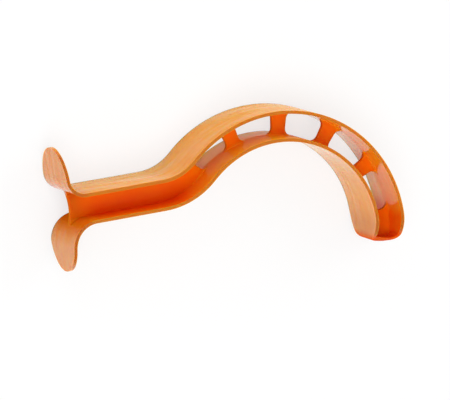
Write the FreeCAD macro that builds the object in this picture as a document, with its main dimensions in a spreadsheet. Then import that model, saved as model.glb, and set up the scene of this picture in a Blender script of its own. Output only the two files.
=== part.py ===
import FreeCAD, Part

# Oropharyngeal airway: one moulding of I section, in millimetres.
# The straight bite runs along +X from the flange, and the profile lies in the XY plane,
# so +Z is across the width and the part lies on its side. The origin is the centre of
# the proximal mouth: on the flange face, on the bite's centre line, halfway across the width.
# One strip makes both long walls. It starts at the end of the upper ear, curls into the
# outer wall, bends up and over, turns round the closed tip and comes back as the inner wall
# to the lower ear. A thin web halfway across the width joins the two walls.

import math
import os

import Sketcher
from FreeCAD import Placement, Rotation, Vector

DRIVING_SIZES = {
    "wall_width": 20.7,
    "wall_thickness": 1.05,
    "web_thickness": 1.5,
    "section_height": 9.7,
    "bite_length": 31.1,
    "reverse_radius": 20.5,
    "reverse_angle": 42.5,
    "arc_radius": 35.8,
    "arc_angle": 136.2,
    "tip_run": 2.2,
    "tip_slope_angle": 11.2,
    "tip_outer_round": 3.0,
    "tip_inner_round": 1.9,
    "end_wall": 1.4,
    "upper_curl": 4.9,
    "lower_curl": 7.2,
    "upper_reach": 18.9,
    "lower_reach": 19.8,
    "upper_lean_angle": 3.0,
    "mouth_radius": 18.0,
    "upper_mouth_angle": 44.0,
    "lower_mouth_angle": 50.0,
    "window_count": 5,
    "window_pitch_angle": 26.9,
    "window_span_angle": 19.5,
    "window_lead_angle": 11.4,
    "window_corner": 2.4,
}
QUARTER_TURN = 90
HALF_TURN = 180


class Size:
    """A number together with the sheet formula that drives it."""

    def __init__(self, number, formula):
        self.number = number
        self.formula = formula

    def join(self, other, number, sign):
        return Size(number, f"({self.formula} {sign} {other.formula})")

    def __add__(self, other):
        other = as_size(other)
        return self.join(other, self.number + other.number, "+")

    def __sub__(self, other):
        other = as_size(other)
        return self.join(other, self.number - other.number, "-")

    def __mul__(self, other):
        other = as_size(other)
        return self.join(other, self.number * other.number, "*")

    def __truediv__(self, other):
        other = as_size(other)
        return self.join(other, self.number / other.number, "/")


def as_size(value):
    if isinstance(value, Size):
        return value
    return Size(value, str(value))


def sine(angle):
    return Size(math.sin(math.radians(angle.number)), f"sin({angle.formula} * 1deg)")


def cosine(angle):
    return Size(math.cos(math.radians(angle.number)), f"cos({angle.formula} * 1deg)")


def write_sheet(document):
    """Fill the sheet with the driving sizes and return them as named sizes."""
    sheet = document.addObject("Spreadsheet::Sheet", "sizes")
    named = {}
    for row, (name, number) in enumerate(DRIVING_SIZES.items(), start=1):
        sheet.set(f"A{row}", name)
        sheet.set(f"B{row}", str(number))
        sheet.setAlias(f"B{row}", name)
        named[name] = Size(number, f"sizes.{name}")
    document.recompute()
    return named


def polar(centre, radius, degrees):
    turn = math.radians(degrees)
    return centre + Vector(radius * math.cos(turn), radius * math.sin(turn), 0)


class Drawing:
    """A sketch on one of the body's own planes, with sizes bound to the sheet."""

    def __init__(self, body, name, plane, shift=(0, 0, 0), axis=Vector(0, 1, 0), turn=0):
        self.sketch = body.newObject("Sketcher::SketchObject", name)
        origin_plane = [item for item in body.Origin.OriginFeatures if item.Role == plane][0]
        self.sketch.AttachmentSupport = [(origin_plane, "")]
        self.sketch.MapMode = "FlatFace"
        shift = [as_size(part) for part in shift]
        turn = as_size(turn)
        base = Vector(*[part.number for part in shift])
        self.sketch.AttachmentOffset = Placement(base, Rotation(axis, turn.number))
        for letter, part in zip("xyz", shift):
            self.sketch.setExpression(f"AttachmentOffset.Base.{letter}", f"{part.formula} * 1mm")
        if "sizes" in turn.formula:
            self.sketch.setExpression("AttachmentOffset.Rotation.Angle", f"{turn.formula} * 1deg")

    def fix(self, *parts):
        return self.sketch.addConstraint(Sketcher.Constraint(*parts))

    def length(self, kind, *parts):
        *where, size = parts
        size = as_size(size)
        index = self.fix(kind, *where, size.number)
        self.sketch.setExpression(f"Constraints[{index}]", f"{size.formula} * 1mm")

    def angle(self, element, size):
        size = as_size(size)
        index = self.fix("Angle", element, math.radians(size.number))
        self.sketch.setExpression(f"Constraints[{index}]", f"{size.formula} * 1deg")

    def line(self, first, second):
        return self.sketch.addGeometry(Part.LineSegment(first, second), False)

    def arc(self, centre, radius, first_degrees, last_degrees):
        circle = Part.Circle(centre, Vector(0, 0, 1), radius)
        first = math.radians(first_degrees)
        last = math.radians(last_degrees)
        return self.sketch.addGeometry(Part.ArcOfCircle(circle, first, last), False)

    def pin(self, element, end, across, up):
        """Place one end point by its distances from the sketch's origin."""
        self.length("DistanceX", -1, 1, element, end, across)
        self.length("DistanceY", -1, 1, element, end, up)

    def run(self, start, heading, pieces):
        """Draw lines and arcs one after the other, each tangent to the one before.

        Return the first and the last joint, each as an element, its end and its place.
        """
        place = start
        first = None
        last = None
        for kind, *sizes in pieces:
            here = place
            if kind == "line":
                place = polar(here, sizes[0].number, heading)
                element = self.line(here, place)
                enters, leaves = 1, 2
                self.length("Distance", element, sizes[0])
            else:
                radius, turn = sizes
                side = 1 if kind == "left" else -1
                centre = polar(here, radius.number, heading + side * QUARTER_TURN)
                from_centre = heading - side * QUARTER_TURN
                to_centre = from_centre + side * turn.number
                element = self.arc(centre, radius.number, *sorted((from_centre, to_centre)))
                enters, leaves = (1, 2) if side > 0 else (2, 1)
                place = polar(centre, radius.number, to_centre)
                heading += side * turn.number
                self.length("Radius", element, radius)
                self.angle(element, turn)
            if last:
                self.fix("Tangent", last[0], last[1], element, enters)
            else:
                first = (element, enters, here)
            last = (element, leaves, place)
        return first, last

    def join(self, one, other):
        """Close the gap between two joints with a straight line."""
        element = self.line(one[2], other[2])
        self.fix("Coincident", one[0], one[1], element, 1)
        self.fix("Coincident", element, 2, other[0], other[1])


def add_pad(body, name, drawing, length):
    pad = body.newObject("PartDesign::Pad", name)
    pad.Profile = drawing.sketch
    pad.SideType = "Symmetric"
    pad.setExpression("Length", f"{length.formula} * 1mm")
    return pad


def wall_run(d, inset):
    """The skin that lies inset below the strip's outer one, from bite to tip and back."""
    half_height = d["section_height"] / 2
    outer_radius = d["tip_outer_round"] - inset
    inner_radius = d["tip_inner_round"] - inset
    slope = d["tip_slope_angle"]
    right_angle = as_size(QUARTER_TURN)
    end_width = d["section_height"] - inset * 2
    end_width = end_width - outer_radius * (sine(slope) + 1) - inner_radius * (as_size(1) - sine(slope))
    end_width = end_width / cosine(slope)
    extra_end = inset / d["wall_thickness"] * (d["end_wall"] - d["wall_thickness"])
    outer_run = d["tip_run"] - extra_end / cosine(slope)
    inner_run = outer_run + (outer_radius - inner_radius) * cosine(slope) - end_width * sine(slope)
    return [
        ("line", d["bite_length"] - d["wall_thickness"] - d["upper_curl"]),
        ("left", d["reverse_radius"] - half_height + inset, d["reverse_angle"]),
        ("right", d["arc_radius"] + half_height - inset, d["arc_angle"]),
        ("line", outer_run),
        ("right", outer_radius, right_angle + slope),
        ("line", end_width),
        ("right", inner_radius, right_angle - slope),
        ("line", inner_run),
        ("left", d["arc_radius"] - half_height + inset, d["arc_angle"]),
        ("right", d["reverse_radius"] + half_height - inset, d["reverse_angle"]),
        ("line", d["bite_length"] - d["wall_thickness"] - d["lower_curl"]),
    ]


def add_strip(body, d):
    """Both ears, both long walls and the end wall, as one bent strip."""
    drawing = Drawing(body, "strip_outline", "XY_Plane")
    half_height = d["section_height"] / 2
    lean = d["upper_lean_angle"]
    right_angle = as_size(QUARTER_TURN)
    curl_start = d["wall_thickness"] + d["upper_curl"]
    skins = []
    for inset in (as_size(0), d["wall_thickness"]):
        upper_radius = d["upper_curl"] + inset
        ear_foot = half_height + d["upper_curl"] - upper_radius * sine(lean)
        ear_run = (d["upper_reach"] - ear_foot) / cosine(lean)
        pieces = [
            ("line", ear_run),
            ("left", upper_radius, right_angle - lean),
            *wall_run(d, inset),
            ("left", d["lower_curl"] + inset, right_angle),
            ("line", d["lower_reach"] - half_height - d["lower_curl"]),
        ]
        across = curl_start - upper_radius * cosine(lean) - ear_run * sine(lean)
        start = Vector(across.number, d["upper_reach"].number, 0)
        first, last = drawing.run(start, lean.number - QUARTER_TURN, pieces)
        bite_line = first[0] + 2
        drawing.fix("Horizontal", bite_line)
        drawing.pin(bite_line, 1, curl_start, half_height - inset)
        skins.append((first, last))
    drawing.join(skins[0][0], skins[1][0])
    drawing.join(skins[0][1], skins[1][1])
    return add_pad(body, "strip", drawing, d["wall_width"])


def add_web(body, d):
    """The thin web between the walls. Its proximal edge is a shallow hollow curve."""
    drawing = Drawing(body, "web_outline", "XY_Plane")
    inset = d["wall_thickness"] / 2
    upper_radius = d["upper_curl"] + inset
    turn = d["upper_mouth_angle"]
    curl_start = d["wall_thickness"] + d["upper_curl"]
    level = d["section_height"] / 2 - inset
    pieces = [
        ("left", upper_radius, turn),
        *wall_run(d, inset),
        ("left", d["lower_curl"] + inset, d["lower_mouth_angle"]),
    ]
    across = curl_start - upper_radius * sine(turn)
    up = level + upper_radius - upper_radius * cosine(turn)
    first, last = drawing.run(Vector(across.number, up.number, 0), -turn.number, pieces)
    bite_line = first[0] + 1
    drawing.fix("Horizontal", bite_line)
    drawing.pin(bite_line, 1, curl_start, level)

    radius = d["mouth_radius"].number
    chord = first[2] - last[2]
    half_turn = math.degrees(math.asin(chord.Length / 2 / radius))
    facing = math.degrees(math.atan2(chord.y, chord.x)) - QUARTER_TURN
    centre = polar(first[2], radius, facing + half_turn + HALF_TURN)
    mouth = drawing.arc(centre, radius, facing - half_turn, facing + half_turn)
    drawing.length("Radius", mouth, d["mouth_radius"])
    drawing.fix("Coincident", mouth, 2, first[0], first[1])
    drawing.fix("Coincident", mouth, 1, last[0], last[1])
    return add_pad(body, "web", drawing, d["web_thickness"])


def arc_centre(d):
    reach = d["reverse_radius"] + d["arc_radius"]
    across = d["bite_length"] + reach * sine(d["reverse_angle"])
    up = d["reverse_radius"] - reach * cosine(d["reverse_angle"])
    return across, up


def add_windows(body, d):
    """The row of windows through the web, evenly spaced along the main arc."""
    across, up = arc_centre(d)
    drawing = Drawing(body, "window_outline", "XY_Plane", shift=(across, up, 0))
    clear = d["section_height"] / 2 - d["wall_thickness"]
    corner = d["window_corner"]
    middle = d["reverse_angle"] + QUARTER_TURN - d["window_lead_angle"]
    centre = Vector(0, 0, 0)

    outer_radius = (d["arc_radius"] + clear).number
    inner_radius = (d["arc_radius"] - clear).number
    corner_radius = corner.number
    outer_lean = math.degrees(math.asin(corner_radius / (outer_radius - corner_radius)))
    inner_lean = math.degrees(math.asin(corner_radius / (inner_radius + corner_radius)))
    high = (middle + d["window_span_angle"] / 2).number
    low = (middle - d["window_span_angle"] / 2).number

    outer = drawing.arc(centre, outer_radius, low + outer_lean, high - outer_lean)
    inner = drawing.arc(centre, inner_radius, low + inner_lean, high - inner_lean)
    for element, size in ((outer, d["arc_radius"] + clear), (inner, d["arc_radius"] - clear)):
        drawing.fix("Coincident", element, 3, -1, 1)
        drawing.length("Radius", element, size)

    corners = []
    for edge, side in ((high, -1), (low, 1)):
        outer_middle = polar(centre, outer_radius - corner_radius, edge + side * outer_lean)
        inner_middle = polar(centre, inner_radius + corner_radius, edge + side * inner_lean)
        along_edge = edge - side * QUARTER_TURN
        outer_turn = sorted((along_edge, edge + side * outer_lean))
        inner_turn = sorted((along_edge, edge + side * (inner_lean - HALF_TURN)))
        outer_corner = drawing.arc(outer_middle, corner_radius, *outer_turn)
        inner_corner = drawing.arc(inner_middle, corner_radius, *inner_turn)
        inner_end = polar(inner_middle, corner_radius, along_edge)
        outer_end = polar(outer_middle, corner_radius, along_edge)
        straight = drawing.line(inner_end, outer_end)
        drawing.fix("PointOnObject", -1, 1, straight)
        drawing.angle(straight, middle - d["window_span_angle"] / 2 * side)
        near, far = (2, 1) if side < 0 else (1, 2)
        drawing.fix("Tangent", straight, 2, outer_corner, near)
        drawing.fix("Tangent", outer_corner, far, outer, near)
        drawing.fix("Tangent", straight, 1, inner_corner, far)
        drawing.fix("Tangent", inner_corner, near, inner, near)
        corners += [outer_corner, inner_corner]
    drawing.length("Radius", corners[0], corner)
    for element in corners[1:]:
        drawing.fix("Equal", corners[0], element)

    window = body.newObject("PartDesign::Pocket", "window")
    window.Profile = drawing.sketch
    window.SideType = "Symmetric"
    window.setExpression("Length", f"{d['wall_width'].formula} * 1mm")
    row = body.newObject("PartDesign::PolarPattern", "window_row")
    row.Originals = [window]
    row.Axis = (drawing.sketch, ["N_Axis"])
    row.Reversed = True
    whole = d["window_pitch_angle"] * (d["window_count"] - 1)
    row.setExpression("Angle", f"{whole.formula} * 1deg")
    row.setExpression("Occurrences", d["window_count"].formula)
    body.Tip = row
    return row


def cut_full_round(body, name, plane, depth, d, **placing):
    """Trim an end to a half circle across the whole width.

    In the sketch the end lies on the vertical axis, with the material to its right.
    """
    drawing = Drawing(body, f"{name}_outline", plane, **placing)
    radius = d["wall_width"] / 2
    beyond = d["wall_thickness"]
    centre = Vector(radius.number, 0, 0)
    side = radius + beyond
    corners = [
        Vector(radius.number, radius.number, 0),
        Vector(radius.number, side.number, 0),
        Vector(-beyond.number, side.number, 0),
        Vector(-beyond.number, -side.number, 0),
        Vector(radius.number, -side.number, 0),
        Vector(radius.number, -radius.number, 0),
    ]
    lines = [drawing.line(one, other) for one, other in zip(corners, corners[1:])]
    for one, other in zip(lines, lines[1:]):
        drawing.fix("Coincident", one, 2, other, 1)
    for element, kind in zip(lines, ("Vertical", "Horizontal", "Vertical", "Horizontal", "Vertical")):
        drawing.fix(kind, element)
    round_end = drawing.arc(centre, radius.number, QUARTER_TURN, 3 * QUARTER_TURN)
    drawing.fix("Coincident", round_end, 1, lines[0], 1)
    drawing.fix("Coincident", round_end, 2, lines[-1], 2)
    drawing.fix("PointOnObject", round_end, 3, -1)
    drawing.fix("PointOnObject", round_end, 3, lines[0])
    drawing.length("Radius", round_end, radius)
    drawing.length("DistanceX", -1, 1, round_end, 3, radius)
    drawing.length("Distance", lines[0], beyond)
    drawing.length("Distance", lines[-1], beyond)
    drawing.length("Distance", lines[1], radius + beyond)
    cut = body.newObject("PartDesign::Pocket", name)
    cut.Profile = drawing.sketch
    cut.SideType = "Symmetric"
    cut.setExpression("Length", f"{depth.formula} * 1mm")
    return cut


def add_round_ends(body, d):
    """The ears and the tip all end in a half circle as wide as the walls."""
    ear_depth = (d["wall_thickness"] + d["lower_curl"]) * 2
    across_ear = {"axis": Vector(0, 0, 1), "turn": HALF_TURN}
    upper = (d["upper_reach"], 0, 0)
    lower = (as_size(0) - d["lower_reach"], 0, 0)
    cut_full_round(body, "upper_ear_end", "YZ_Plane", ear_depth, d, shift=upper, **across_ear)
    cut_full_round(body, "lower_ear_end", "YZ_Plane", ear_depth, d, shift=lower)

    across, up = arc_centre(d)
    turn = as_size(HALF_TURN) + d["reverse_angle"] - d["arc_angle"]
    end_run = d["tip_run"] + d["tip_outer_round"]
    tip_across = across + d["arc_radius"] * sine(turn) - end_run * cosine(turn)
    tip_up = up - d["arc_radius"] * cosine(turn) - end_run * sine(turn)
    shift = (tip_across, 0, as_size(0) - tip_up)
    tip_depth = d["section_height"] * 2
    return cut_full_round(body, "tip_end", "XZ_Plane", tip_depth, d, shift=shift, turn=turn)


def make_airway(document, d):
    body = document.addObject("PartDesign::Body", "airway_body")
    body.Label = "airway_body"
    add_strip(body, d)
    add_web(body, d)
    document.recompute()
    add_windows(body, d)
    add_round_ends(body, d)
    document.recompute()
    return body


def check(document, bodies):
    for item in document.Objects:
        if {"Invalid", "Error"} & set(item.State):
            raise RuntimeError(f"{item.Label} didn't build: {item.State}")
    for body in bodies:
        if body.Shape.isNull() or not body.Shape.isValid():
            raise RuntimeError(f"{body.Label} has no valid shape")


def main():
    document = FreeCAD.newDocument("oropharyngeal_airway")
    sizes = write_sheet(document)
    bodies = [make_airway(document, sizes)]
    check(document, bodies)
    os.makedirs("parts", exist_ok=True)
    for body in bodies:
        body.Shape.exportStep(f"parts/{body.Label}.step")
        solid = body.Shape
        print(body.Label, len(solid.Solids), "solid", round(solid.Volume, 1), "mm3", solid.BoundBox)


main()
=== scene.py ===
# %% [markdown]
# # An oropharyngeal airway in orange plastic
#
# The object is a single moulding: two long walls, a thin web with five windows between
# them, a closed round tip, and a flange whose two ears curl out of the walls. Its whole
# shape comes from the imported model, so this lesson is about looks: a glossy, slightly
# translucent plastic, a pale studio floor, soft light and the photograph's viewpoint.

import math

import bpy
from mathutils import Matrix, Vector


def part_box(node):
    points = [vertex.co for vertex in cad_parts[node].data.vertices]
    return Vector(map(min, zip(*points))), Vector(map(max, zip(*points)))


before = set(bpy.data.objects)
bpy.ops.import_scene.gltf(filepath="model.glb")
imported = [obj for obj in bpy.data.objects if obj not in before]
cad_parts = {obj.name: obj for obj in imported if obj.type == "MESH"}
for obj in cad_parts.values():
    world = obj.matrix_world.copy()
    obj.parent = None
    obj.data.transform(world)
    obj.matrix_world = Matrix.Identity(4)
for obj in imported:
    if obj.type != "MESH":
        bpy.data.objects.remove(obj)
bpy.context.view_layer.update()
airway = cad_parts["airway_body"]
low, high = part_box("airway_body")
length, height, width = high - low
print("airway", [round(size * 1000, 1) for size in (length, height, width)], "mm")

# %% [markdown]
# ## Soft edges
#
# A mould has no perfectly sharp edges. The long rims of both walls are slightly rounded,
# and each catches a thin line of light, and the corners between web and walls are filled
# a little. A Bevel modifier does both on the finished mesh. It is limited by angle, so the
# smooth curves of the walls stay as they are.
#
# The mesh arrives split along its sharp edges, and a Bevel finds no corner there, so a
# Weld modifier joins it first. Weighted Normal comes last: the wide faces decide the
# shading, and only the narrow rounded strips seem to bend.

# %% Round the rims
RIM_ROUND = 0.00025
SPLIT_GAP = 0.000001
CORNER_ANGLE = math.radians(50)


def soften_edges(piece, size):
    """Round every corner sharper than the limit, and shade the rest smoothly."""
    weld = piece.modifiers.new("seam_weld", "WELD")
    weld.merge_threshold = SPLIT_GAP
    bevel = piece.modifiers.new("rim_rounding", "BEVEL")
    bevel.width = size
    bevel.segments = 2
    bevel.limit_method = "ANGLE"
    bevel.angle_limit = CORNER_ANGLE
    bevel.use_clamp_overlap = True
    shading = piece.modifiers.new("even_shading", "WEIGHTED_NORMAL")
    shading.mode = "FACE_AREA"
    shading.weight = 100
    shading.keep_sharp = False


soften_edges(airway, RIM_ROUND)
print("softened by", [modifier.name for modifier in airway.modifiers])

# %% [markdown]
# ## Helpers for node groups
#
# The plastic is deep orange, glossy and a little cloudy, and it looks different on every
# side of the part. Each effect is a node group: one finds the places, one gives them
# their colours, and one makes the moulded surface. A group is a small sum of many nodes,
# so a few helpers write the nodes down as if they were plain formulas.

# %% Make and place a group
def new_group(name, inputs, outputs):
    """A shader node group with float and colour sockets, and its two end nodes."""
    group = bpy.data.node_groups.new(name, "ShaderNodeTree")
    for label, value in inputs.items():
        kind = "NodeSocketFloat" if isinstance(value, (int, float)) else "NodeSocketColor"
        socket = group.interface.new_socket(label, in_out="INPUT", socket_type=kind)
        socket.default_value = value
    for label, kind in outputs.items():
        group.interface.new_socket(label, in_out="OUTPUT", socket_type=kind)
    start = group.nodes.new("NodeGroupInput")
    end = group.nodes.new("NodeGroupOutput")
    return group, start.outputs, end.inputs


def place_group(tree, group, values):
    node = tree.nodes.new("ShaderNodeGroup")
    node.node_tree = group
    for label, value in values.items():
        node.inputs[label].default_value = value
    return node


# %% Add a node
def add_node(tree, kind, **settings):
    """Add one node. A setting named after a property sets it, any other an input."""
    node = tree.nodes.new(kind)
    for name, value in settings.items():
        if hasattr(node, name):
            setattr(node, name, value)
        else:
            node.inputs[name.replace("_", " ")].default_value = value
    return node


def feed(tree, target, source):
    """Give an input another node's output, or a plain value."""
    if isinstance(source, bpy.types.NodeSocket):
        tree.links.new(source, target)
    else:
        target.default_value = source


# %% Write sums as nodes
def calculate(tree, operation, *values):
    node = add_node(tree, "ShaderNodeMath", operation=operation)
    for target, value in zip(node.inputs, values):
        feed(tree, target, value)
    return node.outputs[0]


def step_over(tree, value, span, results=(0.0, 1.0), shape="SMOOTHSTEP"):
    """The first result up to the start of the span, and the second from its end on."""
    node = add_node(tree, "ShaderNodeMapRange", interpolation_type=shape)
    feed(tree, node.inputs["Value"], value)
    for labels, pair in ((("From Min", "From Max"), span), (("To Min", "To Max"), results)):
        for label, source in zip(labels, pair):
            feed(tree, node.inputs[label], source)
    return node.outputs["Result"]


def blend(tree, factor, first, second):
    """The first value where the factor is 0, and the second where it is 1."""
    node = add_node(tree, "ShaderNodeMix", data_type="FLOAT")
    feed(tree, node.inputs["Factor"], factor)
    feed(tree, node.inputs["A"], first)
    feed(tree, node.inputs["B"], second)
    return node.outputs["Result"]


def multiply_all(tree, first, *others):
    for other in others:
        first = calculate(tree, "MULTIPLY", first, other)
    return first


# %% [markdown]
# ## The line that the walls follow
#
# On the real part the outer faces and the rims look golden, because light leaves them
# after one short path. Inside the side channels it passes from wall to wall, and the
# orange deepens to red. Here this light and shade is painted into the colour. The
# channels could be found by ambient occlusion, but that is slow and noisy. The walls
# follow a line made of one straight run and two arcs, so the distance to that line
# tells the inside of a wall from its outside exactly.

# %% The line that the walls follow
BITE_END = 0.0311
REVERSE_RADIUS = 0.0205
ARC_RADIUS = 0.0358
REVERSE_ANGLE = math.radians(42.5)
HEADING = Vector((math.cos(REVERSE_ANGLE), math.sin(REVERSE_ANGLE), 0))
REVERSE_CENTRE = Vector((BITE_END, REVERSE_RADIUS, 0))
JOINT = REVERSE_CENTRE + REVERSE_RADIUS * Vector((HEADING.y, -HEADING.x, 0))
ARC_CENTRE = JOINT + ARC_RADIUS * Vector((HEADING.y, -HEADING.x, 0))
print("arch centre", [round(value * 1000, 1) for value in ARC_CENTRE])


# %% The distance from that line
def distance_from_line(tree, place):
    """How far above the line a point lies, or below it if the number is negative."""
    flat = add_node(tree, "ShaderNodeCombineXYZ")
    feed(tree, flat.inputs["X"], place["X"])
    feed(tree, flat.inputs["Y"], place["Y"])

    def beyond_circle(centre, radius, side):
        distance = add_node(tree, "ShaderNodeVectorMath", operation="DISTANCE")
        feed(tree, distance.inputs[0], flat.outputs[0])
        distance.inputs[1].default_value = centre
        return calculate(tree, "MULTIPLY_ADD", distance.outputs["Value"], side, -side * radius)

    past_bite = calculate(tree, "GREATER_THAN", place["X"], BITE_END)
    along = add_node(tree, "ShaderNodeVectorMath", operation="DOT_PRODUCT")
    feed(tree, along.inputs[0], flat.outputs[0])
    along.inputs[1].default_value = HEADING
    past_joint = calculate(tree, "GREATER_THAN", along.outputs["Value"], JOINT.dot(HEADING))
    above_bend = beyond_circle(REVERSE_CENTRE, REVERSE_RADIUS, -1)
    above_arc = beyond_circle(ARC_CENTRE, ARC_RADIUS, 1)
    bent = blend(tree, past_bite, place["Y"], above_bend)
    return blend(tree, past_joint, bent, above_arc)


# %% [markdown]
# ## Reading a point
#
# Every mask below asks the same few questions of a shaded point: where it lies, how far
# it is from the walls' line and from the web, and which way its surface looks. They are
# answered once, in the part's own coordinates, so the masks stay put from any viewpoint.
# Two answers are places on the part: the open stretch with the windows, where daylight
# comes in, and the inner face of a wall, which lies at one distance from the line.
#
# All these lengths are in metres. A pair of numbers is a span, over which a mask fades in
# from the first to the second. The part lies on its side, so what is up in the photograph
# is Y here, and the flange's mouth is at X 0.

# %% Read a point
HALF_SECTION = 0.00485
WALL = 0.00105
INNER_SKIN = HALF_SECTION - WALL
HALF_WEB = 0.00075
PAST_BEND = (0.036, 0.05)
ABOVE_TIP = (-0.022, -0.012)


def read_point(tree):
    coordinates = add_node(tree, "ShaderNodeTexCoord")
    place = add_node(tree, "ShaderNodeSeparateXYZ")
    feed(tree, place.inputs[0], coordinates.outputs["Object"])
    facing = add_node(tree, "ShaderNodeSeparateXYZ")
    feed(tree, facing.inputs[0], coordinates.outputs["Normal"])
    point = {axis: place.outputs[axis] for axis in "XYZ"}
    point["Looks Along"] = facing.outputs["X"]
    point["Looks Up"] = facing.outputs["Y"]
    point["Looks Sideways"] = calculate(tree, "ABSOLUTE", facing.outputs["Z"])
    point["Across"] = calculate(tree, "ABSOLUTE", point["Z"])
    point["Above Line"] = distance_from_line(tree, point)
    point["Off Line"] = calculate(tree, "ABSOLUTE", point["Above Line"])
    past_bend = step_over(tree, point["X"], PAST_BEND)
    above_tip = step_over(tree, point["Y"], ABOVE_TIP)
    point["Open Stretch"] = calculate(tree, "MULTIPLY", past_bend, above_tip)
    point["Inner Face"] = calculate(tree, "COMPARE", point["Off Line"], INNER_SKIN, WALL / 5)
    return point


print("a wall's inner face lies", round(INNER_SKIN * 1000, 2), "mm off the line")

# %% [markdown]
# ## The channels and the curls
#
# The first mask tells the deep inside of the channels, which gets the painted red
# shade, from the golden outside. It fades through the thickness of a wall. The curls of
# the ears carry the channel's colour outwards on the real part, because they are the
# same sheet bent round, so on their outer side the mask reaches further.

# %% Mark the inside of the channels
CURLS_START = (0.0085, 0.0055)
OUTWARD = -0.05


# Where the channel gets its painted red shade instead of the golden skin.
def mark_inside(tree, point, skins):
    near_mouth = step_over(tree, point["X"], CURLS_START)
    looks_out = calculate(tree, "LESS_THAN", point["Looks Along"], OUTWARD)
    on_curl = calculate(tree, "MULTIPLY", near_mouth, looks_out)
    outer = blend(tree, on_curl, skins["Outer Skin"], skins["Curl Reach"])
    inner = blend(tree, point["Open Stretch"], skins["Inner Skin"], skins["Open Skin"])
    return step_over(tree, point["Off Line"], (inner, outer), (1.0, 0.0))


# %% [markdown]
# ## Rims and the web's own edge
#
# The narrow edges of the walls show as thin brown and golden lines in the photograph.
# They are found in two ways, by their place at the part's full width and by their facing,
# because the rounded strip lies between both. The web has an edge too, at the mouth and
# round each window, and it is duller. It is told from the web's broad face by its facing,
# and from the walls by its distance from the line. At the mouth it runs out onto the
# lower curl.

# %% Mark the rims of the walls
RIM_TURN = (0.3, 0.7)
CLEAR_OF_WEB = HALF_WEB + 0.0005


# The rims get thin painted lines of light and shade.
def mark_rims(tree, point, skins):
    fade_start = calculate(tree, "SUBTRACT", skins["Half Width"], skins["Rim Fade"])
    by_place = step_over(tree, point["Across"], (fade_start, skins["Half Width"]))
    by_facing = step_over(tree, point["Looks Sideways"], RIM_TURN)
    off_web = calculate(tree, "GREATER_THAN", point["Across"], CLEAR_OF_WEB)
    on_wall = calculate(tree, "MULTIPLY", by_facing, off_web)
    return calculate(tree, "MAXIMUM", by_place, on_wall)


print("rims lie more than", round(CLEAR_OF_WEB * 1000, 2), "mm from the web's middle")

# %% Mark the edge of the web
HAIR = 0.00002
WEB_SKIN = HALF_WEB + 0.00005
WEB_EDGE_TURN = (0.97, 0.7)
WEB_EDGE_FADE = 0.0005
RUN_OUT_START = (0.0045, 0.0035)
RUN_OUT = 0.0035


# Where the web's edge gets its painted light, and less gloss.
def mark_web_edge(tree, point):
    turned = step_over(tree, point["Looks Sideways"], WEB_EDGE_TURN)
    on_web = calculate(tree, "LESS_THAN", point["Across"], WEB_SKIN)
    below = calculate(tree, "LESS_THAN", point["Above Line"], 0.0)
    run_out = step_over(tree, point["X"], RUN_OUT_START, (0.0, RUN_OUT))
    reach = calculate(tree, "MULTIPLY_ADD", below, run_out, INNER_SKIN - HAIR)
    fade_start = calculate(tree, "SUBTRACT", reach, WEB_EDGE_FADE)
    between = step_over(tree, point["Off Line"], (reach, fade_start))
    return multiply_all(tree, turned, between, on_web)


print("the web's edge runs out", RUN_OUT * 1000, "mm onto the lower curl")

# %% [markdown]
# ## How deep the channel's painted shade is
#
# Inside the channel the painted shade still runs from red to orange. It is painted
# reddest low down beside the web, where light has passed through the most plastic, and
# painted lighter near the upper wall, near the open rims and in the stretch with the
# windows. It deepens again towards the tip. These four shares are simply added, and one
# smooth step keeps their sum between 0 and 1.

# %% Mark the shallow parts of the channel
TOWARDS_TIP = (-0.006, -0.016)
RIM_SHARE = 0.6
WINDOW_SHARE = 0.8
TIP_SHARE = -0.8


# Where the channel's painted shade turns lighter.
def mark_shallow(tree, point, skins):
    upwards = (-INNER_SKIN, INNER_SKIN)
    outwards = (HALF_WEB, skins["Half Width"])
    shares = (
        step_over(tree, point["Above Line"], upwards, shape="LINEAR"),
        step_over(tree, point["Across"], outwards, (0.0, RIM_SHARE), "LINEAR"),
        step_over(tree, point["X"], PAST_BEND, (0.0, WINDOW_SHARE)),
        step_over(tree, point["Y"], TOWARDS_TIP, (0.0, TIP_SHARE)),
    )
    total = shares[0]
    for share in shares[1:]:
        total = calculate(tree, "ADD", total, share)
    return step_over(tree, total, (0.0, 1.0))


# %% [markdown]
# ## Places that light reaches differently
#
# Beyond the windows the far half of the walls is painted paler, as painted light, since
# it stands in full daylight. The falling end of the arch and the ears' curls are painted
# darker, as they stand in the part's own shade, and the bottom of the closed channel is
# tinted with painted light, as it gets light only from its red neighbours. Round the
# mouth the channel is painted with the lighter colour of the web's edge. The closed tip
# is painted the reddest place of all, as painted shade.

# %% Mark the far walls beyond the windows
BEHIND_WEB = (-0.0008, -0.0025)
BESIDE_WEB_SHARE = 0.4


# Where the far walls get their painted light.
def mark_far(tree, point):
    behind_web = step_over(tree, point["Z"], BEHIND_WEB, (BESIDE_WEB_SHARE, 1.0))
    return multiply_all(tree, behind_web, point["Open Stretch"], point["Inner Face"])


# %% Mark the shade and the bottom of the closed channel
FALLING_END = (-0.014, -0.023)
CURLS_SHADE = (0.009, 0.003)
BEFORE_WINDOWS = (0.04, 0.034)


def mark_shade(tree, point):
    falling_end = step_over(tree, point["Y"], FALLING_END)
    curls = step_over(tree, point["X"], CURLS_SHADE)
    return calculate(tree, "MAXIMUM", falling_end, curls)


# Where the channel's bottom gets its painted light tint.
def mark_bottom(tree, point):
    at_bottom = calculate(tree, "LESS_THAN", point["Above Line"], HAIR - INNER_SKIN)
    closed = step_over(tree, point["X"], BEFORE_WINDOWS)
    return multiply_all(tree, at_bottom, closed, point["Inner Face"])


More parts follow.
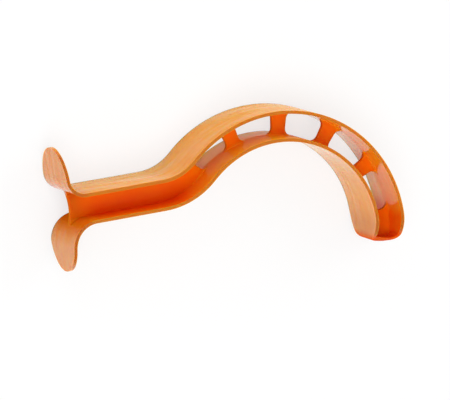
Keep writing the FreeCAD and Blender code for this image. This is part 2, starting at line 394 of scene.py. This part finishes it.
# %% Gather the masks in a group
COLOR_MASKS = (
    "Inside", "Shallow", "Web Edge", "Mouth", "Far", "Rim", "Tip", "Shade", "Bottom",
)
MASKS = COLOR_MASKS + ("Upward", "Inner Face")
# Round the mouth the channel gets the painted light of the web's edge.
MOUTH = (0.014, 0.004)
# The tip gets the reddest painted shade, and is nearly matt.
TIP = (-0.024, -0.0268)
UPWARD_TURN = (0.05, 0.6)


def make_channel_depth():
    """All places that the colours and the gloss ask for, as masks from 0 to 1."""
    lengths = {
        "Inner Skin": 0.0036,
        "Open Skin": 0.003,
        "Outer Skin": 0.0045,
        "Curl Reach": 0.009,
        "Half Width": 0.01,
        "Rim Fade": 0.001,
    }
    masks = {label: "NodeSocketFloat" for label in MASKS}
    group, skins, end = new_group("channel_depth", lengths, masks)
    point = read_point(group)
    found = {
        "Inside": mark_inside(group, point, skins),
        "Shallow": mark_shallow(group, point, skins),
        "Web Edge": mark_web_edge(group, point),
        "Mouth": step_over(group, point["X"], MOUTH),
        "Far": mark_far(group, point),
        "Rim": mark_rims(group, point, skins),
        "Tip": step_over(group, point["Y"], TIP),
        "Shade": mark_shade(group, point),
        "Bottom": mark_bottom(group, point),
        "Upward": step_over(group, point["Looks Up"], UPWARD_TURN),
        "Inner Face": point["Inner Face"],
    }
    for label, mask in found.items():
        feed(group, end[label], mask)
    return group


channel_depth = make_channel_depth()
print("group", channel_depth.name, "with", len(MASKS), "masks")

# %% [markdown]
# ## The painted light and shade
#
# The painted light and shade are laid over each other like washes of paint, from the
# deep channel to the rims, each held back by its mask. Two of them are tints, which
# multiply what lies below.
# The last is a very weak cloud of slow noise: the pigment in a moulding is never quite
# even, and it lifts the colour a little here and there.

# %% Paint the light and shade
PLAIN_ORANGE = (0.8, 0.25, 0.02, 1)
COLORS = (
    "Skin Color", "Painted Shallow Light", "Painted Deep Shade", "Painted Rim Shading And Cloud", "Painted Edge Light",
    "Painted Far Light", "Painted Tip Shade", "Shade Tint", "Painted Bottom Light",
)
# Painted light and shade laid over the channel: the far walls lighter, the rims' brown and
# golden lines, the tip and the shaded places darker, the channel's bottom tinted.
WASHES = (
    ("Far", "Painted Far Light", "MIX"),
    ("Rim", "Painted Rim Shading And Cloud", "MIX"),
    ("Tip", "Painted Tip Shade", "MIX"),
    ("Shade", "Shade Tint", "MULTIPLY"),
    ("Bottom", "Painted Bottom Light", "MULTIPLY"),
)


def make_painted_light_and_shade():
    """Painted light and shade: golden skin, deep channels and brown rims, with slow clouds in
    all of them.
    """
    inputs = {label: 0.0 for label in COLOR_MASKS}
    inputs.update({label: PLAIN_ORANGE for label in COLORS})
    inputs.update({"Cloud Size": 0.01, "Cloud Strength": 0.1})
    group, start, end = new_group("painted_light_and_shade", inputs, {"Color": "NodeSocketColor"})

    def wash(share, below, above, blend_type="MIX"):
        node = add_node(group, "ShaderNodeMix", data_type="RGBA", blend_type=blend_type)
        feed(group, node.inputs["Factor"], share)
        feed(group, node.inputs["A"], below)
        feed(group, node.inputs["B"], above)
        return node.outputs["Result"]

    # Painted shade in the channel: deep red, and lighter orange where it is shallow.
    channel = wash(start["Shallow"], start["Painted Deep Shade"], start["Painted Shallow Light"])
    # Painted light round the mouth and on the web's edge.
    channel = wash(start["Mouth"], channel, start["Painted Edge Light"])
    channel = wash(start["Web Edge"], channel, start["Painted Edge Light"])
    color = wash(start["Inside"], start["Skin Color"], channel)
    for mask, above, blend_type in WASHES:
        color = wash(start[mask], color, start[above], blend_type)

    # The clouds of uneven pigment lift the colour towards the rims' painted colour.
    place = add_node(group, "ShaderNodeTexCoord")
    clouds = add_node(group, "ShaderNodeTexNoise", Detail=3.0, Roughness=0.5)
    feed(group, clouds.inputs["Vector"], place.outputs["Object"])
    feed(group, clouds.inputs["Scale"], calculate(group, "DIVIDE", 1.0, start["Cloud Size"]))
    amount = calculate(group, "MULTIPLY", clouds.outputs["Fac"], start["Cloud Strength"])
    feed(group, end["Color"], wash(amount, color, start["Painted Rim Shading And Cloud"], "SCREEN"))
    return group


painted_light_and_shade = make_painted_light_and_shade()
print("group", painted_light_and_shade.name, "with", len(COLORS), "colours")

# %% [markdown]
# ## The orange's colours
#
# One plastic gives all of these, and they differ only in how far the light has gone
# through it, so apart from the clouds they are painted light and shade. Each was tried
# against its place in the photograph, and it is written as the base colour there,
# without the white that the gloss adds. Blue is almost absent in all of them, which
# keeps the orange saturated.

# %% Mix the colours
# Painted light and shade on the one orange plastic; only the clouds are its own uneven tone.
ORANGE = {
    "Skin Color": (0.74, 0.25, 0.006, 1),
    "Painted Shallow Light": (0.93, 0.15, 0.001, 1),
    "Painted Deep Shade": (0.72, 0.057, 0.0005, 1),
    "Painted Rim Shading And Cloud": (0.46, 0.165, 0.018, 1),
    "Painted Edge Light": (0.72, 0.14, 0.002, 1),
    "Painted Far Light": (0.99, 0.50, 0.03, 1),
    "Painted Tip Shade": (0.80, 0.09, 0.002, 1),
    "Shade Tint": (0.78, 0.74, 1.0, 1),
    "Painted Bottom Light": (0.85, 1.2, 1.0, 1),
    "Cloud Size": 0.012,
    "Cloud Strength": 0.06,
}
print("skin", ORANGE["Skin Color"][:3], "and deep channel", ORANGE["Painted Deep Shade"][:3])

# %% [markdown]
# ## The moulded surface
#
# A polished mould still leaves the surface slightly wavy, and the flowing plastic leaves
# very faint lines along the part. Both bend the reflections a little, and dull them here
# and there, so they drive the bump and the roughness together. The lines are noise that
# is stretched along the part. A wider set of them, the streaks, makes the gloss itself a
# little stronger and weaker, as it is on the photograph's ears.

# %% The moulded surface
EVERY_WAY = (1, 1, 1)
ALONG_THE_PART = (0.12, 0.12, 1)
WAVES = (0.35, 0.7)
BANDS = (0.35, 0.65)
GLOSS_RANGE = (0.7, 1.22)


def make_moulded_surface():
    sizes = {
        "Wave Size": 0.006,
        "Flow Size": 0.0008,
        "Flow Share": 0.2,
        "Streak Size": 0.003,
        "Smooth Roughness": 0.1,
        "Dull Roughness": 0.25,
    }
    results = {label: "NodeSocketFloat" for label in ("Height", "Roughness", "Streaks")}
    group, start, end = new_group("moulded_surface", sizes, results)
    place = add_node(group, "ShaderNodeTexCoord")

    def noise(size, stretch):
        scale = add_node(group, "ShaderNodeVectorMath", operation="MULTIPLY")
        scale.inputs[1].default_value = stretch
        feed(group, scale.inputs[0], place.outputs["Object"])
        node = add_node(group, "ShaderNodeTexNoise", Detail=2.0, Roughness=0.5)
        feed(group, node.inputs["Vector"], scale.outputs[0])
        feed(group, node.inputs["Scale"], calculate(group, "DIVIDE", 1.0, size))
        return node.outputs["Fac"]

    waves = noise(start["Wave Size"], EVERY_WAY)
    flow = noise(start["Flow Size"], ALONG_THE_PART)
    streaks = noise(start["Streak Size"], ALONG_THE_PART)
    roughness = (start["Smooth Roughness"], start["Dull Roughness"])
    feed(group, end["Height"], blend(group, start["Flow Share"], waves, flow))
    feed(group, end["Roughness"], step_over(group, waves, WAVES, roughness, "LINEAR"))
    feed(group, end["Streaks"], step_over(group, streaks, BANDS, GLOSS_RANGE, "LINEAR"))
    return group


moulded_surface = make_moulded_surface()
print("group", moulded_surface.name)

# %% [markdown]
# ## The gloss
#
# The faces that look down mirror the bright ground, so they carry the full gloss. Those
# that look up see a darker room and carry about half of it. Inside the channel a wall
# mirrors mostly its orange neighbour, so there the white gloss is weak, apart from the far
# faces, which stand in the open again. The web's edge and the tip are nearly matt. The
# gloss could be one number, but then the channel would look frosted. The value for an
# upward face inside the channel is below zero, so that the gloss has gone before the face
# looks quite upward, and the last sum cuts it off at zero.

# %% Choose the gloss
UPWARD_GLOSS = 0.57
CHANNEL_UPWARD_GLOSS = -0.1
FAR_UPWARD_GLOSS = 0.5
SHELTERED_GLOSS = 0.5
FULL_GLOSS = 1.0
MATT_GLOSS = 0.05


def choose_gloss(tree, masks, streaks):
    """The weight of the clear coat, from which all the white reflections come."""
    sheltered = calculate(tree, "MAXIMUM", masks["Inside"], masks["Inner Face"])
    up_outside = calculate(tree, "MULTIPLY", streaks, UPWARD_GLOSS)
    up_inside = blend(tree, masks["Far"], CHANNEL_UPWARD_GLOSS, FAR_UPWARD_GLOSS)
    upward = blend(tree, sheltered, up_outside, up_inside)
    down_inside = blend(tree, masks["Far"], SHELTERED_GLOSS, FULL_GLOSS)
    downward = blend(tree, masks["Inner Face"], FULL_GLOSS, down_inside)
    gloss = blend(tree, masks["Upward"], downward, upward)
    for label in ("Web Edge", "Tip"):
        gloss = blend(tree, masks[label], gloss, MATT_GLOSS)
    streaked = calculate(tree, "MULTIPLY", gloss, streaks)
    return calculate(tree, "MAXIMUM", streaked, 0.0)


# %% [markdown]
# ## The orange plastic
#
# The colour comes from light that travels inside the plastic, so Subsurface Weight is 1.
# Red travels furthest, green less and blue hardly at all, and the radius says so. The
# white reflections come from a clear coat alone, with the shader's own specular off,
# because the coat's weight can follow the masks.

# %% Make the orange plastic
# One material carries the plastic and its painted light and shade.
def make_orange_plastic():
    material = bpy.data.materials.new("orange_plastic_with_painted_light")
    material.use_nodes = True
    tree = material.node_tree
    shader = tree.nodes["Principled BSDF"]
    shader.inputs["IOR"].default_value = 1.5
    shader.inputs["Specular IOR Level"].default_value = 0.0
    shader.inputs["Coat Roughness"].default_value = 0.14
    shader.inputs["Subsurface Weight"].default_value = 1.0
    shader.inputs["Subsurface Radius"].default_value = (1.0, 0.4, 0.05)
    shader.inputs["Subsurface Scale"].default_value = 0.0038
    depth = place_group(tree, channel_depth, {
        "Inner Skin": INNER_SKIN,
        "Open Skin": HALF_SECTION - 0.0023,
        "Outer Skin": HALF_SECTION - 0.0002,
        "Curl Reach": 0.0095,
        "Half Width": width / 2,
        "Rim Fade": 0.0002,
    })
    color = place_group(tree, painted_light_and_shade, ORANGE)
    surface = place_group(tree, moulded_surface, {
        "Wave Size": 0.007,
        "Flow Size": 0.0009,
        "Flow Share": 0.15,
        "Streak Size": 0.0016,
        "Smooth Roughness": 0.06,
        "Dull Roughness": 0.14,
    })
    bump = add_node(tree, "ShaderNodeBump", Strength=0.15, Distance=0.0003)
    for label in COLOR_MASKS:
        feed(tree, color.inputs[label], depth.outputs[label])
    feed(tree, shader.inputs["Base Color"], color.outputs["Color"])
    feed(tree, shader.inputs["Roughness"], surface.outputs["Roughness"])
    feed(tree, bump.inputs["Height"], surface.outputs["Height"])
    feed(tree, shader.inputs["Normal"], bump.outputs["Normal"])
    gloss = choose_gloss(tree, depth.outputs, surface.outputs["Streaks"])
    feed(tree, shader.inputs["Coat Weight"], gloss)
    return material


airway.data.materials.clear()
airway.data.materials.append(make_orange_plastic())
print("material", airway.data.materials[0].name)

# %% [markdown]
# ## The floor
#
# The part lies on its side on a white table. The floor is a plain pale sheet. In the eye
# of the camera three quarters of it are plain white, as the photograph's ground is, and
# one quarter is lit paper, which keeps the soft shadow round the part. Together they come
# to white where no shadow falls. In the gloss the floor is nearly all white.

# %% Lay the floor
FLOOR_REACH = 1.5
PAPER = (0.93, 0.93, 0.93, 1)
SEEN_WHITENESS = 0.75
SEEN_STRENGTH = 0.96
GLOSS_WHITENESS = 0.93


def make_pale_floor():
    """Lit paper with a share of plain white that depends on the kind of ray."""
    material = bpy.data.materials.new("pale_floor")
    material.use_nodes = True
    tree = material.node_tree
    paper = tree.nodes["Principled BSDF"]
    paper.inputs["Base Color"].default_value = PAPER
    paper.inputs["Roughness"].default_value = 0.9
    paper.inputs["Specular IOR Level"].default_value = 0.1
    rays = add_node(tree, "ShaderNodeLightPath").outputs
    white = add_node(tree, "ShaderNodeEmission")
    strength = blend(tree, rays["Is Camera Ray"], 1.0, SEEN_STRENGTH)
    feed(tree, white.inputs["Strength"], strength)
    share = calculate(tree, "MULTIPLY", rays["Is Camera Ray"], SEEN_WHITENESS)
    for kind in ("Is Glossy Ray", "Is Transmission Ray"):
        part = calculate(tree, "MULTIPLY", rays[kind], GLOSS_WHITENESS)
        share = calculate(tree, "MAXIMUM", share, part)
    mixed = tree.nodes.new("ShaderNodeMixShader")
    for target, source in zip(mixed.inputs, (share, paper.outputs[0], white.outputs[0])):
        feed(tree, target, source)
    feed(tree, tree.nodes["Material Output"].inputs["Surface"], mixed.outputs[0])
    return material


def make_floor(level, reach):
    ends = ((-1, -1), (1, -1), (1, 1), (-1, 1))
    mesh = bpy.data.meshes.new("floor")
    mesh.from_pydata([(x * reach, y * reach, level) for x, y in ends], [], [(0, 1, 2, 3)])
    mesh.materials.append(make_pale_floor())
    floor = bpy.data.objects.new("floor", mesh)
    bpy.context.scene.collection.objects.link(floor)


make_floor(low.z, FLOOR_REACH)
print("floor at", round(low.z * 1000, 2), "mm")

# %% [markdown]
# ## The light
#
# The studio light is soft and even, from a white sky and three large lamps: one above
# the part, one beyond its tip and one on the side of its arch. No lamp is seen in the
# gloss, and the sky is nearly dark there, so only the white floor and the part itself
# show in it.

# %% Light the sky
SKY_LEVEL = 0.52
GLOSS_SKY_LEVEL = 0.06


def make_sky(level, gloss_level):
    world = bpy.data.worlds.new("studio_sky")
    bpy.context.scene.world = world
    world.use_nodes = True
    tree = world.node_tree
    background = tree.nodes["Background"]
    background.inputs["Color"].default_value = (1, 1, 1, 1)
    rays = tree.nodes.new("ShaderNodeLightPath")
    strength = blend(tree, rays.outputs["Is Glossy Ray"], level, gloss_level)
    feed(tree, background.inputs["Strength"], strength)


make_sky(SKY_LEVEL, GLOSS_SKY_LEVEL)
print("sky", SKY_LEVEL, "and in the gloss", GLOSS_SKY_LEVEL)

# %% Hang the lamps
LAMP_DISTANCE = 0.8
LAMP_SIZE = 0.6
LAMPS = {
    "front_lamp": ((-0.25, -0.15, 1.0), 4.7),
    "right_lamp": ((1.0, 0.5, 0.5), 1.8),
    "top_lamp": ((-0.2, 1.0, 0.5), 0.85),
}


def add_lamp(name, direction, watts):
    """A square soft lamp that faces the middle of the part."""
    away = Vector(direction).normalized()
    lamp_data = bpy.data.lights.new(name, "AREA")
    lamp_data.size = LAMP_SIZE
    lamp_data.energy = watts
    lamp = bpy.data.objects.new(name, lamp_data)
    lamp.location = (low + high) / 2 + away * LAMP_DISTANCE
    lamp.rotation_euler = away.to_track_quat("Z", "Y").to_euler()
    lamp.visible_glossy = False
    bpy.context.scene.collection.objects.link(lamp)


for name, (direction, watts) in LAMPS.items():
    add_lamp(name, direction, watts)
print("lamps", list(LAMPS))

# %% [markdown]
# ## The camera
#
# The photograph was taken with a long lens, with the part standing upright: its bite
# leaned 6.8 degrees up, and the camera stood 22.4 degrees round from side-on and 7.8
# degrees above. The part lies here, so the camera is first placed round the upright part,
# and then both are laid down together. Its lens and sensor are in millimetres.

# %% Place the camera
BITE_LEAN = math.radians(6.815)
AZIMUTH = math.radians(22.449)
ELEVATION = math.radians(7.817)
ROLL = math.radians(0.092)
LOOK_AT = Vector((0.05456, -0.00682, 0))
DISTANCE = 1.474
LENS = 381.1
SENSOR = 36


def place_camera():
    along = Vector((math.cos(BITE_LEAN), -math.sin(BITE_LEAN), 0))
    up = Vector((math.sin(BITE_LEAN), math.cos(BITE_LEAN), 0))
    laid_down = Matrix((along, Vector((0, 0, -1)), up)).transposed()
    turn = Matrix.Rotation(-AZIMUTH, 3, "Z")
    turn = turn @ Matrix.Rotation(math.pi / 2 - ELEVATION, 3, "X")
    turn = turn @ Matrix.Rotation(ROLL, 3, "Z")
    pose = laid_down @ turn
    camera_data = bpy.data.cameras.new("camera")
    camera_data.sensor_width = SENSOR
    camera_data.lens = LENS
    camera = bpy.data.objects.new("camera", camera_data)
    camera.location = LOOK_AT + pose.col[2] * DISTANCE
    camera.rotation_euler = pose.to_euler()
    bpy.context.scene.collection.objects.link(camera)
    bpy.context.scene.camera = camera
    return camera


camera = place_camera()
print("camera at", [round(value, 3) for value in camera.location])

# %% [markdown]
# ## Finish
#
# The view transform is Standard, so a colour renders as it is written.

# %% Finish
bpy.context.scene.view_settings.view_transform = "Standard"
